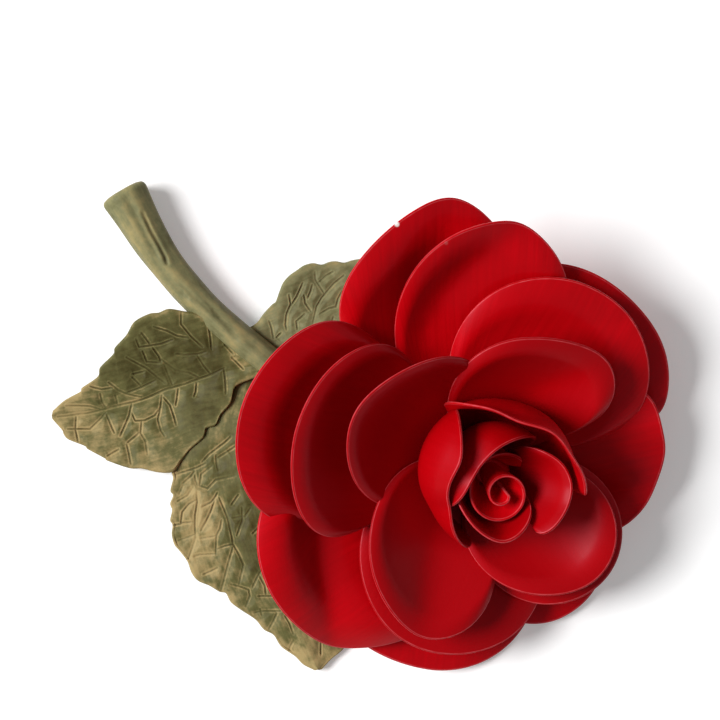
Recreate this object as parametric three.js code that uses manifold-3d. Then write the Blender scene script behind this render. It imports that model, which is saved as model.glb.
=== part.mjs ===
// A porcelain rose lying on a table: a tilted, open flower of separate petals, a bare stem and three leaves.
// Millimetres, +Z up. The origin is the middle of the flat foot ground on the receptacle under the flower.

import * as THREE from "three";
import { mergeVertices } from "three/addons/utils/BufferGeometryUtils.js";
import Module from "manifold-3d";

const wasm = await Module();
wasm.setup();

// Stance of the flower
const FLOWER_TILT = 18;
const FLOWER_LEAN = -45;
const HEART_HEIGHT = 10;

// Clay thicknesses and the gap left for slip between luted pieces
const PETAL_ROOT_THICKNESS = 1.8;
const PETAL_RIM_THICKNESS = 1;
const LEAF_THICKNESS = 3;
const LEAF_EDGE_THICKNESS = 1.6;
const SLIP_GAP = 0.3;

// Receptacle and core
const RECEPTACLE_RADIUS = 13;
const RECEPTACLE_BULGE = 1.2;
const RECEPTACLE_DEPTH = 16;
const CORE_BASE_RADIUS = 12.5;
const CORE_TOP_RADIUS = 5.6;
const CORE_HEIGHT = 24;

// Petal seats climb the core in steps of one petal's thickness
const FIRST_SEAT = 2;
const SEAT_STEP = PETAL_ROOT_THICKNESS;
const PETAL_ROOT_RADIUS = 4;
const PETAL_EDGE_ANGLE = 80;
const VALLEY_SOFTNESS = 0.07;
const VALLEY_EASE = 1.5;
const CUP_GROWTH = 1.5;

// Rolled strip in the middle of the bud
const SPIRAL_TURNS = -1.9;
const SPIRAL_START = -10;
const SPIRAL_INNER_RADIUS = 1.7;
const SPIRAL_OUTER_RADIUS = 11.5;
const SPIRAL_HEIGHT = 12;
const SPIRAL_DROP = 3;
const SPIRAL_FOOT_SCALE = 0.5;
const SPIRAL_THICKNESS = 1.6;
const SPIRAL_LEAN = new THREE.Vector3(1.5, -3.5, 0);

// Stem: centre line over the table, cut end first
const STEM_TIP_RADIUS = 6.8;
const STEM_RADIUS = 4.4;
const STEM_FLARE_SHARE = 0.45;
const STEM_PATH = [[-102.3, 77.7], [-92.2, 59.4], [-80.2, 44.5], [-66.6, 32.3], [-50, 20], [-30, 9], [-2, 0]];
const STEM_END_HEIGHT = 9;

// Facets
const PETAL_ROWS = 7;
const PETAL_COLUMNS = 12;
const PETAL_ROW_CROWDING = 1.7;
const LEAF_SECTIONS = 35;
const LEAF_COLUMNS = 3;
const STEM_SECTIONS = 15;
const STEM_SIDES = 12;
const SPIRAL_SECTIONS = 32;
const LATHE_SIDES = 18;
const LATHE_STEPS = 6;

const PAINT = { color: "#b4041a", roughness: 0.5 };
const LEAF_PAINT = { color: "#6b6f4a", roughness: 0.55 };

// Petals from the bud outwards. turn is the bearing about the flower's axis, half the half angle that the
// petal spans and reach its length from root to tip; left and right draw its sides in and skew makes them
// unlike. level counts seat steps up the core. The petal leaves the core at the angle from to the axis and ends
// at the angle to. cup is the rise of its sides over a valley, which meets the rim at valley and swings by
// sweep towards the root. lip is the turned-out rim of the width fold.
const PETALS = [
  { name: "bud_petal_wrap", turn: 121, half: 88, reach: 29, left: 0.25, right: 0.5, skew: 0.1,
    level: 8.6, from: 95, to: -66, cup: -8, valley: 0.25, sweep: 0, lip: 0.6, fold: 3 },
  { name: "bud_petal_right", turn: -3, half: 50, reach: 27.5, left: 0.6, right: 0.2, skew: -0.1,
    level: 8.4, from: 44, to: 34, cup: 7, valley: 0, sweep: 0, lip: 0.6, fold: 3 },
  { name: "bud_petal_front", turn: -105, half: 78, reach: 25, left: 0.25, right: 0.4, skew: 0.2,
    level: 8.4, from: 49, to: 10, cup: 11, valley: 0.25, sweep: 0, lip: 0.6, fold: 3 },
  { name: "bud_petal_left", turn: 188, half: 71, reach: 35.5, left: 0.2, right: 0.35, skew: -0.18,
    level: 6, from: 103, to: -55, cup: -14, valley: 0.28, sweep: 0, lip: 0.6, fold: 3 },
  { name: "bud_petal_back", turn: 57, half: 67, reach: 41, left: 0.35, right: 0.12, skew: 0,
    level: 5.5, from: 100, to: -40, cup: -8, valley: 0.4, sweep: 0, lip: 0.3, fold: 3 },
  { name: "petal_inner_front_right", turn: -56, half: 68, reach: 41.5, left: 1.6, right: 1.4, skew: 0.4,
    level: 8.9, from: 92, to: 52, cup: 18, valley: 0.13, sweep: -0.3, lip: 2, fold: 6 },
  { name: "petal_inner_front", turn: -138, half: 59, reach: 46.5, left: 0.9, right: 0.95, skew: 0.4,
    level: 8, from: 94, to: 53, cup: 26, valley: 0.4, sweep: -0.4, lip: 2.5, fold: 6 },
  { name: "petal_inner_right", turn: 81, half: 57, reach: 43.5, left: 1.8, right: 0.4, skew: -0.24,
    level: 7.6, from: 90, to: 50, cup: 18, valley: -0.6, sweep: 0.5, lip: 3, fold: 6 },
  { name: "petal_inner_left", turn: 148, half: 69, reach: 51.7, left: 1.65, right: 1.35, skew: 0,
    level: 6.9, from: 94, to: 31, cup: 18, valley: 0.06, sweep: 0, lip: 2, fold: 5 },
  { name: "petal_middle_front_right", turn: -44, half: 58, reach: 47, left: 1.45, right: 1.3, skew: 0,
    level: 7, from: 96, to: 58, cup: 8, valley: 0.1, sweep: 0, lip: 2.5, fold: 8 },
  { name: "petal_middle_front", turn: -116, half: 72, reach: 52.5, left: 1.1, right: 1.7, skew: 0.2,
    level: 6.2, from: 98, to: 62, cup: 8, valley: 0.1, sweep: 0, lip: 3, fold: 9 },
  { name: "petal_middle_left", turn: 165, half: 41, reach: 64, left: 0.35, right: 0.4, skew: -0.04,
    level: 5.4, from: 97, to: 40, cup: 4, valley: 0, sweep: 0, lip: 2.5, fold: 6 },
  { name: "petal_middle_right", turn: 63, half: 54, reach: 60, left: 1.35, right: 0.45, skew: 0,
    level: 4.4, from: 95, to: 54, cup: 8, valley: -0.25, sweep: 0, lip: 4.5, fold: 12 },
  { name: "petal_middle_back", turn: 97, half: 43, reach: 73, left: 1.7, right: 0.95, skew: -0.15,
    level: 3.2, from: 99, to: 56, cup: 22, valley: -0.3, sweep: 1.5, lip: 3, fold: 10 },
  { name: "petal_outer_left", turn: 163, half: 34, reach: 77, left: 0.3, right: 0.45, skew: -0.04,
    level: 4.2, from: 100, to: 46, cup: 4, valley: 0, sweep: 0, lip: 5.5, fold: 12 },
  { name: "petal_outer_right", turn: 12, half: 46, reach: 53, left: 1.1, right: 0.3, skew: 0,
    level: 3.3, from: 97, to: 56, cup: 8, valley: -0.1, sweep: 0, lip: 4, fold: 12 },
  { name: "petal_outer_front_left", turn: -144, half: 49, reach: 70.5, left: 0.45, right: 0.95, skew: -0.19,
    level: 2.7, from: 97, to: 60, cup: 22, valley: 0.6, sweep: -3, lip: 8, fold: 12 },
  { name: "petal_outer_back", turn: 104, half: 36, reach: 79, left: 0.4, right: 1.4, skew: -0.05,
    level: 1.8, from: 102, to: 58, cup: 20, valley: -0.2, sweep: 1, lip: 5, fold: 12 },
  { name: "petal_outer_front_right", turn: -60, half: 37, reach: 52.5, left: 0.45, right: 0.95, skew: 0,
    level: 2.4, from: 94, to: 72, cup: 4, valley: 0, sweep: 0, lip: 2, fold: 8 },
  { name: "petal_outer_right_back", turn: 52, half: 42, reach: 64, left: 0.4, right: 0.2, skew: 0,
    level: 0.6, from: 95, to: 62, cup: 4, valley: 0, sweep: 0, lip: 2.5, fold: 9 },
  { name: "petal_outer_front", turn: -102, half: 55, reach: 61.5, left: 1.1, right: 0.25, skew: 0,
    level: 1.6, from: 95, to: 75, cup: 3, valley: 0, sweep: 0, lip: 2, fold: 8 },
];

// Leaves, each lying on those before it: the midrib in plan and height, the two margins in plan, all from base to
// tip, and how steeply the left and right halves rise from the midrib.
const LEAVES = [
  { name: "leaf_lower", leftSlope: -0.14, rightSlope: -0.14,
    midrib: [[-66, 24, 3.5], [-68, 0, 5.5], [-62, -30, 6], [-51, -52, 4.5], [-43.5, -68, 2.5]],
    left: [[-62, 22], [-52, 0], [-44, -25], [-38, -45], [-34, -57], [-35.5, -61.5], [-39.5, -65], [-42.3, -68]],
    right: [[-69, 22], [-80, 8], [-86, 0], [-88, -7], [-87.6, -9.8], [-88.4, -13.5], [-87.6, -15], [-88.5, -17.5],
      [-87.9, -19.5], [-88.5, -22.5], [-87.8, -24], [-88, -27], [-87.2, -30], [-85.8, -31.7], [-83.3, -35],
      [-82, -38.5], [-80, -41], [-76.5, -42.5], [-73.5, -44.3], [-71.5, -44.8], [-70, -47.5], [-67, -49.8],
      [-62.5, -52.8], [-60, -55.8], [-57, -57.5], [-54.7, -61], [-50.5, -64], [-48, -66.5], [-44.5, -68.3]] },
  { name: "leaf_left", leftSlope: 0.12, rightSlope: 0.3,
    midrib: [[-66, 26, 7.5], [-80, 20.5, 5], [-94, 15.4, 3], [-108, 11.4, 2], [-124.5, 9.2, 2]],
    left: [[-66, 24], [-68.5, 18], [-70, 13], [-73, 9.5], [-74.5, 6.4], [-77.5, 5.3], [-78.3, 2.5], [-82.5, -1.2],
      [-85, -4.5], [-87.5, -7.8], [-92, -8], [-97, -6.9], [-101, -6.7], [-107.5, -4.5], [-108.5, -3.7],
      [-113.5, -1], [-114.5, 0], [-119.5, 2], [-121, 3.7], [-121.4, 4.8], [-124.4, 8.2]],
    right: [[-66, 29], [-72, 35], [-79, 40], [-84, 41], [-88.5, 41.7], [-91.5, 40.6], [-94.5, 40.2], [-99, 37.8],
      [-101.5, 33.8], [-105, 30], [-105.6, 28], [-109.6, 24], [-110.4, 21.2], [-115.2, 17.8], [-115.6, 16.7],
      [-120.5, 14], [-124.2, 10.8]] },
  { name: "leaf_upper", leftSlope: 0.08, rightSlope: 0.08,
    midrib: [[-64, 33, 4], [-55, 37, 5], [-40, 44, 5.5], [-25, 52, 6], [-12, 56, 7]],
    left: [[-67, 35], [-62.5, 37.2], [-60, 40.3], [-57.5, 43], [-56.3, 44], [-55.2, 47], [-54, 49.8], [-52, 52],
      [-50, 53.4], [-48, 54.8], [-46, 55.5], [-44.5, 55.6], [-42.3, 55.2], [-40, 56], [-38, 56.2], [-35.5, 55.8],
      [-33, 56.5], [-30, 57], [-20, 58], [-12, 57.5]],
    right: [[-62, 30], [-50, 28], [-35, 32], [-22, 42], [-12, 54]] },
];

const radians = THREE.MathUtils.degToRad;
const lerp = THREE.MathUtils.lerp;

/** Closed surface through equal rings of points, with each end ring zipped shut. */
function loft(sections) {
  const count = sections[0].length;
  const index = [];
  for (let i = 0; i + 1 < sections.length; i += 1) {
    for (let j = 0; j < count; j += 1) {
      const a = i * count + j;
      const b = i * count + ((j + 1) % count);
      index.push(a, b, a + count, b, b + count, a + count);
    }
  }
  const last = (sections.length - 1) * count;
  let low = 0;
  let high = count - 1;
  while (high - low >= 2) {
    index.push(low, high, low + 1, last + low, last + low + 1, last + high);
    low += 1;
    if (high - low >= 2) {
      index.push(low, high, high - 1, last + low, last + high - 1, last + high);
      high -= 1;
    }
  }
  const positions = sections.flat().flatMap((point) => point.toArray());
  return outwardGeometry(new Float32Array(positions), index);
}

/** Six times the volume inside triangles, negative where they face in. */
function enclosed(positions, index) {
  const corner = (k) => new THREE.Vector3().fromArray(positions, 3 * index[k]);
  let volume = 0;
  for (let k = 0; k < index.length; k += 3) {
    volume += corner(k).dot(corner(k + 1).cross(corner(k + 2)));
  }
  return volume;
}

/** Indexed geometry whose triangles face out. */
function outwardGeometry(positions, index) {
  const facing = enclosed(positions, index) < 0 ? index.toReversed() : index;
  const geometry = new THREE.BufferGeometry();
  geometry.setAttribute("position", new THREE.BufferAttribute(positions, 3));
  geometry.setIndex(facing);
  return geometry;
}

function toSolid(geometry) {
  const bare = geometry.clone();
  bare.deleteAttribute("normal");
  bare.deleteAttribute("uv");
  const merged = mergeVertices(bare);
  const vertProperties = new Float32Array(merged.attributes.position.array);
  const triVerts = new Uint32Array(merged.index.array);
  return new wasm.Manifold(new wasm.Mesh({ numProp: 3, vertProperties, triVerts }));
}

/** Geometry of a cut solid. Where the cut frees a crumb of clay, only the largest body is kept. */
function toGeometry(solid) {
  const { vertProperties, triVerts } = solid.getMesh();
  const parent = Array.from({ length: vertProperties.length / 3 }, (_, i) => i);
  const find = (i) => {
    let root = i;
    while (parent[root] !== root) {
      root = parent[root];
    }
    parent[i] = root;
    return root;
  };
  for (let k = 0; k < triVerts.length; k += 3) {
    parent[find(triVerts[k + 1])] = find(triVerts[k]);
    parent[find(triVerts[k + 2])] = find(triVerts[k]);
  }
  const bodies = new Map();
  for (let k = 0; k < triVerts.length; k += 3) {
    const body = find(triVerts[k]);
    const triangles = bodies.get(body) ?? [];
    triangles.push(triVerts[k], triVerts[k + 1], triVerts[k + 2]);
    bodies.set(body, triangles);
  }
  const size = (triangles) => enclosed(vertProperties, triangles);
  const largest = [...bodies.values()].sort((a, b) => size(b) - size(a))[0];
  const used = [...new Set(largest)];
  const place = new Map(used.map((vertex, i) => [vertex, i]));
  const positions = used.flatMap((vertex) => [...vertProperties.slice(3 * vertex, 3 * vertex + 3)]);
  return outwardGeometry(new Float32Array(positions), largest.map((vertex) => place.get(vertex)));
}

function cut(geometry, cutters) {
  let solid = toSolid(geometry);
  for (const cutter of cutters) {
    solid = solid.subtract(cutter);
  }
  return toGeometry(solid);
}

/**
 * Point of a petal in the flower's frame. share runs from the root (0) to the rim (1) along one ray of the fan,
 * side from one edge (-1) to the other (1). The ray is an arc about the axis; lift moves off the middle of
 * the clay.
 */
function petalPoint(petal, share, side, lift, growth) {
  const angle = radians(PETAL_EDGE_ANGLE) * side;
  const across = Math.sin(angle);
  const drawn = across > 0 ? petal.left : petal.right;
  const ray = petal.reach * Math.cos(angle) ** drawn * (1 + petal.skew * across);
  const part = (share * (ray + growth)) / petal.reach;
  const start = radians(petal.from);
  const bend = radians(petal.to - petal.from);
  const slope = start + bend * part;
  const arc = petal.reach / bend;
  const radius = PETAL_ROOT_RADIUS + arc * (Math.cos(start) - Math.cos(slope));
  const height = FIRST_SEAT + SEAT_STEP * petal.level + arc * (Math.sin(slope) - Math.sin(start));
  const crease = petal.valley + petal.sweep * (1 - part);
  const off = Math.hypot(across - crease, VALLEY_SOFTNESS) - VALLEY_SOFTNESS;
  const valley = off / (1 + VALLEY_EASE * off);
  const curl = Math.max(0, 1 - ((1 - share) * petal.reach) / petal.fold);
  const rise = petal.cup * part ** CUP_GROWTH * valley - (petal.lip * ray * curl ** 2) / petal.reach + lift;
  const bearing = radians(petal.turn + petal.half * across);
  const distance = radius - Math.cos(slope) * rise;
  return new THREE.Vector3(
    distance * Math.cos(bearing),
    distance * Math.sin(bearing),
    height + Math.sin(slope) * rise,
  );
}

/** Petal of tapering clay with a rounded rim, its rows crowded towards the lip; spare grows it all round. */
function petalGeometry(petal, spare) {
  const sections = [];
  for (let j = 0; j < PETAL_COLUMNS; j += 1) {
    const side = (2 * j) / (PETAL_COLUMNS - 1) - 1;
    const inner = [];
    const outer = [];
    for (let i = 0; i < PETAL_ROWS; i += 1) {
      const share = 1 - (1 - i / (PETAL_ROWS - 1)) ** PETAL_ROW_CROWDING;
      const half = lerp(PETAL_ROOT_THICKNESS, PETAL_RIM_THICKNESS, share) / 2 + spare;
      inner.push(petalPoint(petal, share, side, half, spare));
      outer.unshift(petalPoint(petal, share, side, -half, spare));
    }
    const crest = petalPoint(petal, 1, side, 0, PETAL_RIM_THICKNESS / 2 + spare);
    sections.push([...inner, crest, ...outer]);
  }
  return loft(sections);
}

/** Rolled strip of the bud, which widens and leans over from its foot on the core. */
function spiralGeometry(spare) {
  const foot = CORE_HEIGHT + SLIP_GAP - spare;
  const sections = [];
  for (let j = 0; j < SPIRAL_SECTIONS; j += 1) {
    const share = j / (SPIRAL_SECTIONS - 1);
    const turn = radians(SPIRAL_START) + share * SPIRAL_TURNS * 2 * Math.PI;
    const radius = lerp(SPIRAL_INNER_RADIUS, SPIRAL_OUTER_RADIUS, share);
    const top = CORE_HEIGHT + SPIRAL_HEIGHT - SPIRAL_DROP * share + spare;
    const half = SPIRAL_THICKNESS / 2 + spare;
    const at = (r, z) => new THREE.Vector3(r * Math.cos(turn), r * Math.sin(turn), z);
    const low = radius * SPIRAL_FOOT_SCALE;
    sections.push([
      at(low - half, foot),
      at(radius - half, top).add(SPIRAL_LEAN),
      at(radius, top + half).add(SPIRAL_LEAN),
      at(radius + half, top).add(SPIRAL_LEAN),
      at(low + half, foot),
    ]);
  }
  return loft(sections);
}

/** Clay cone that carries the petals, swelling towards its base. */
function coreGeometry(spare) {
  const base = SLIP_GAP - spare;
  const top = CORE_HEIGHT + spare;
  const flank = new THREE.QuadraticBezierCurve(
    new THREE.Vector2(CORE_BASE_RADIUS + spare, base),
    new THREE.Vector2(CORE_BASE_RADIUS + spare, (base + top) / 2),
    new THREE.Vector2(CORE_TOP_RADIUS + spare, top),
  );
  const profile = [new THREE.Vector2(0, base), ...flank.getPoints(LATHE_STEPS), new THREE.Vector2(0, top)];
  return new THREE.LatheGeometry(profile, LATHE_SIDES).rotateX(Math.PI / 2);
}

/** Hip under the flower, before its foot is ground flat. */
function receptacleGeometry(spare) {
  const belly = RECEPTACLE_RADIUS + RECEPTACLE_BULGE;
  const flank = new THREE.CubicBezierCurve(
    new THREE.Vector2(0, -RECEPTACLE_DEPTH - spare),
    new THREE.Vector2(belly + spare, -RECEPTACLE_DEPTH - spare),
    new THREE.Vector2(belly + spare, -RECEPTACLE_DEPTH / 2),
    new THREE.Vector2(RECEPTACLE_RADIUS + spare, spare),
  );
  const profile = [...flank.getPoints(LATHE_STEPS), new THREE.Vector2(0, spare)];
  return new THREE.LatheGeometry(profile, LATHE_SIDES).rotateX(Math.PI / 2);
}

/** Round stem lying on the table, flared at its cut end and rising to the receptacle. */
function stemGeometry(spare) {
  const path = new THREE.CatmullRomCurve3(STEM_PATH.map(([x, y], i) => {
    const share = i / (STEM_PATH.length - 1);
    return new THREE.Vector3(x, y, Math.max(stemRadius(share), lerp(STEM_TIP_RADIUS, STEM_END_HEIGHT, share)));
  }));
  const sections = [];
  for (let i = 0; i < STEM_SECTIONS; i += 1) {
    const share = i / (STEM_SECTIONS - 1);
    const centre = path.getPointAt(share);
    const along = path.getTangentAt(share);
    const sideways = new THREE.Vector3(0, 0, 1).cross(along).normalize();
    const up = along.clone().cross(sideways);
    const ring = [];
    for (let j = 0; j < STEM_SIDES; j += 1) {
      const angle = (2 * Math.PI * j) / STEM_SIDES;
      const radius = stemRadius(share) + spare;
      ring.push(centre.clone()
        .addScaledVector(sideways, radius * Math.cos(angle))
        .addScaledVector(up, radius * Math.sin(angle)));
    }
    sections.push(ring);
  }
  return loft(sections);
}

function stemRadius(share) {
  const flare = Math.max(0, 1 - share / STEM_FLARE_SHARE);
  return STEM_RADIUS + (STEM_TIP_RADIUS - STEM_RADIUS) * flare ** 2;
}

/** Smooth curve through points in plan or in space. */
function curveThrough(points) {
  return new THREE.CatmullRomCurve3(points.map(([x, y, z = 0]) => new THREE.Vector3(x, y, z)));
}

/** Leaf slab between two toothed margins, folded along its midrib, flat where it meets the table. */
function leafGeometry(leaf, spare) {
  const midrib = curveThrough(leaf.midrib);
  const left = curveThrough(leaf.left);
  const right = curveThrough(leaf.right);
  const sections = [];
  for (let i = 0; i < LEAF_SECTIONS; i += 1) {
    const share = i / (LEAF_SECTIONS - 1);
    const centre = midrib.getPointAt(share);
    const over = [];
    const under = [];
    for (let j = 0; j < LEAF_COLUMNS; j += 1) {
      const side = (2 * j) / (LEAF_COLUMNS - 1) - 1;
      const margin = (side > 0 ? left : right).getPointAt(share).setZ(centre.z);
      const reach = margin.distanceTo(centre) + spare;
      const slope = side > 0 ? leaf.leftSlope : leaf.rightSlope;
      const half = lerp(LEAF_EDGE_THICKNESS, LEAF_THICKNESS, 1 - side ** 2) / 2 + spare;
      const point = margin.sub(centre).setLength(reach * Math.abs(side)).add(centre);
      const middle = centre.z + slope * reach * Math.abs(side);
      over.push(new THREE.Vector3(point.x, point.y, middle + half));
      under.unshift(new THREE.Vector3(point.x, point.y, Math.max(0, middle - half)));
    }
    sections.push([...over, ...under]);
  }
  return loft(sections);
}

function addPiece(group, name, geometry, paint) {
  const mesh = new THREE.Mesh(geometry, new THREE.MeshStandardMaterial({ ...paint, metalness: 0 }));
  mesh.name = name;
  group.add(mesh);
}

// The flower stands tilted on its heart, which lies over the foot along the flower's axis
const leanDirection = new THREE.Vector3(Math.cos(radians(FLOWER_LEAN)), Math.sin(radians(FLOWER_LEAN)), 0);
const tiltAxis = new THREE.Vector3(0, 0, 1).cross(leanDirection);
const flower = new THREE.Group();
flower.position.copy(leanDirection).multiplyScalar(HEART_HEIGHT * Math.tan(radians(FLOWER_TILT)));
flower.position.z = HEART_HEIGHT;
flower.quaternion.setFromAxisAngle(tiltAxis, radians(FLOWER_TILT));
flower.updateMatrix();

const rose = new THREE.Group();
rose.add(flower);

// Flower, from the bud outwards: each piece is pressed against those already in place
addPiece(flower, "flower_core", coreGeometry(0), PAINT);
addPiece(flower, "bud_spiral", spiralGeometry(0), PAINT);
const inPlace = [toSolid(coreGeometry(SLIP_GAP)), toSolid(spiralGeometry(SLIP_GAP))];
for (const petal of PETALS) {
  addPiece(flower, petal.name, cut(petalGeometry(petal, 0), inPlace), PAINT);
  inPlace.push(toSolid(petalGeometry(petal, SLIP_GAP)));
}

// Receptacle, ground flat on the table
const groundSize = 4 * (RECEPTACLE_RADIUS + RECEPTACLE_DEPTH);
const table = new THREE.BoxGeometry(groundSize, groundSize, groundSize).translate(0, 0, -groundSize / 2);
const ground = toSolid(table);
const hip = receptacleGeometry(0).applyMatrix4(flower.matrix);
addPiece(rose, "receptacle", cut(hip, [ground]), LEAF_PAINT);

// Stem, butted on the receptacle, and the leaves, butted on the stem and on the leaves beneath
const hipSeat = toSolid(receptacleGeometry(SLIP_GAP).applyMatrix4(flower.matrix));
addPiece(rose, "stem", cut(stemGeometry(0), [hipSeat]), LEAF_PAINT);
const leafSeats = [hipSeat, toSolid(stemGeometry(SLIP_GAP))];
for (const leaf of LEAVES) {
  addPiece(rose, leaf.name, cut(leafGeometry(leaf, 0), leafSeats), LEAF_PAINT);
  leafSeats.push(toSolid(leafGeometry(leaf, SLIP_GAP)));
}

export default rose;
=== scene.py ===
"""A porcelain rose lying on a table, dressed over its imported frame.

Shapes are worked out in millimetres as whole arrays on grids, and placed in metres.
"""

import math
from typing import NamedTuple

import bpy
import numpy as np
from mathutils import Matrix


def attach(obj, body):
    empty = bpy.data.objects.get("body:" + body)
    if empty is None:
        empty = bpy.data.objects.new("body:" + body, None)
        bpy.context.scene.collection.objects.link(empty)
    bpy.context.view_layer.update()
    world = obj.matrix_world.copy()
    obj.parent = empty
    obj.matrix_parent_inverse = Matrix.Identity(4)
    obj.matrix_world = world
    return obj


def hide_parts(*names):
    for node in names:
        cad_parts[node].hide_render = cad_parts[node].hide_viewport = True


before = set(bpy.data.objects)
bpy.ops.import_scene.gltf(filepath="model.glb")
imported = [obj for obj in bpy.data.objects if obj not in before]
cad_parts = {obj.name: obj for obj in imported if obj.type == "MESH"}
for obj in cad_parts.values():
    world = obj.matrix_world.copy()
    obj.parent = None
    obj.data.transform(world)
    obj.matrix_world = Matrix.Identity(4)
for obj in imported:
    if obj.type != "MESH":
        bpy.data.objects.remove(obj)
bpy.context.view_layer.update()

MM = 0.001

# Stance of the flower
FLOWER_TILT = 18
FLOWER_LEAN = -45
HEART_HEIGHT = 10

# Thickness of the clay, and the share of it that is left at a rounded edge
PETAL_ROOT_THICKNESS = 1.8
PETAL_RIM_THICKNESS = 0.9
LEAF_THICKNESS = 3.0
LEAF_EDGE_THICKNESS = 1.6
LEAST_THICKNESS_SHARE = 0.05

# Unevenness of the hand-rolled petals: its height, its share of the reach, and how finely it ripples
UNEVEN_CLAY = 0.7
UNEVEN_RIM = 0.016
CLAY_RIPPLES_ACROSS = 7
CLAY_RIPPLES_ALONG = 6
RIM_RIPPLES = 9
RIM_SEED = 50

# Receptacle and core, turned from profiles that end close to the axis
AXIS_RADIUS = 0.05
RECEPTACLE_RADIUS = 13
RECEPTACLE_BULGE = 1.2
RECEPTACLE_DEPTH = 16
CORE_BASE_RADIUS = 12.5
CORE_TOP_RADIUS = 5.6
CORE_HEIGHT = 24

# Distance to an edge that is given to a piece without rims
FAR_FROM_EDGE = 10.0

# Petal seats climb the core in steps of one petal's thickness
FIRST_SEAT = 2
SEAT_STEP = PETAL_ROOT_THICKNESS

# Forms that all petals share
PETAL_ROOT_RADIUS = 4
PETAL_EDGE_ANGLE = 80
VALLEY_SOFTNESS = 0.18
VALLEY_EASE = 1.5
CUP_GROWTH = 1.5
FLUTE_PITCH = 0.4
FLUTE_GROWTH = 4

# Painted shade darkens the red on petals seated towards the bud, from none at the lower level to full at the
# higher one
BUD_SHADE_START_LEVEL = 4.5
BUD_SHADE_FULL_LEVEL = 6.5

# Painted shade darkens the red at the petals' roots and fades out this far up from them
ROOT_SHADE_REACH = 25

# Chips that bare the porcelain on the rims: place over the table, radius and how bare
CHIPS = [(-19.9, 65.9, 0.9, 1.0), (-5.5, 60.4, 0.7, 0.06)]

# Rolled strip in the middle of the bud
SPIRAL_TURNS = -1.9
SPIRAL_START = -10
SPIRAL_INNER_RADIUS = 1.7
SPIRAL_OUTER_RADIUS = 11.5
SPIRAL_HEIGHT = 12
SPIRAL_DROP = 3
SPIRAL_TAIL_SHARE = 0.3
SPIRAL_TAIL_DROP = 9
SPIRAL_FOOT_SCALE = 0.5
SPIRAL_THICKNESS = 1.6
SPIRAL_LEAN = (1.5, -3.5)

# Stem: centre line over the table, cut end first
STEM_TIP_RADIUS = 7.2
STEM_RADIUS = 4.4
STEM_FLARE_SHARE = 0.45
STEM_PATH = [(-102.8, 77.5), (-92.2, 59.4), (-80.2, 44.5), (-66.6, 32.3), (-50, 20), (-30, 9), (-2, 0)]
STEM_END_HEIGHT = 9
STEM_END_ROUNDING = 2.2

# Ridges along the stem: how many, their twist in radians and their height as a share of the radius
STEM_RIDGES = [(3, 5, 0.035), (7, -9, 0.02)]
STEM_LUMPS = 0.03
STEM_LUMPS_ALONG = 40
STEM_LUMPS_AROUND = 2
STEM_SEED = 5

# Grids
PETAL_ROWS = 64
PETAL_COLUMNS = 120
SPIRAL_COLUMNS = 240
RIM_ANGLES = np.radians([75, 45, 15, -15, -45, -75])
LEAF_ROWS = 370
LEAF_COLUMNS = 220
LEAF_UNDER_COLUMNS = 30
STEM_ROWS = 260
STEM_SIDES = 96
LATHE_ROWS = 48
LATHE_SIDES = 96
PATH_FINENESS = 40


class Petal(NamedTuple):
    """A petal's bearing and half angle, its reach, the drawing in of its left and right sides and its
    skew, its seat level, the slopes it starts and ends with, its cup, the valley's place on the rim and its
    sweep towards the root, its turned-out lip and the width of that fold, and its flutes' height."""

    turn: float
    half: float
    reach: float
    left: float
    right: float
    skew: float
    level: float
    start: float
    end: float
    cup: float
    valley: float
    sweep: float
    lip: float
    fold: float
    flute: float = 0


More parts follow.
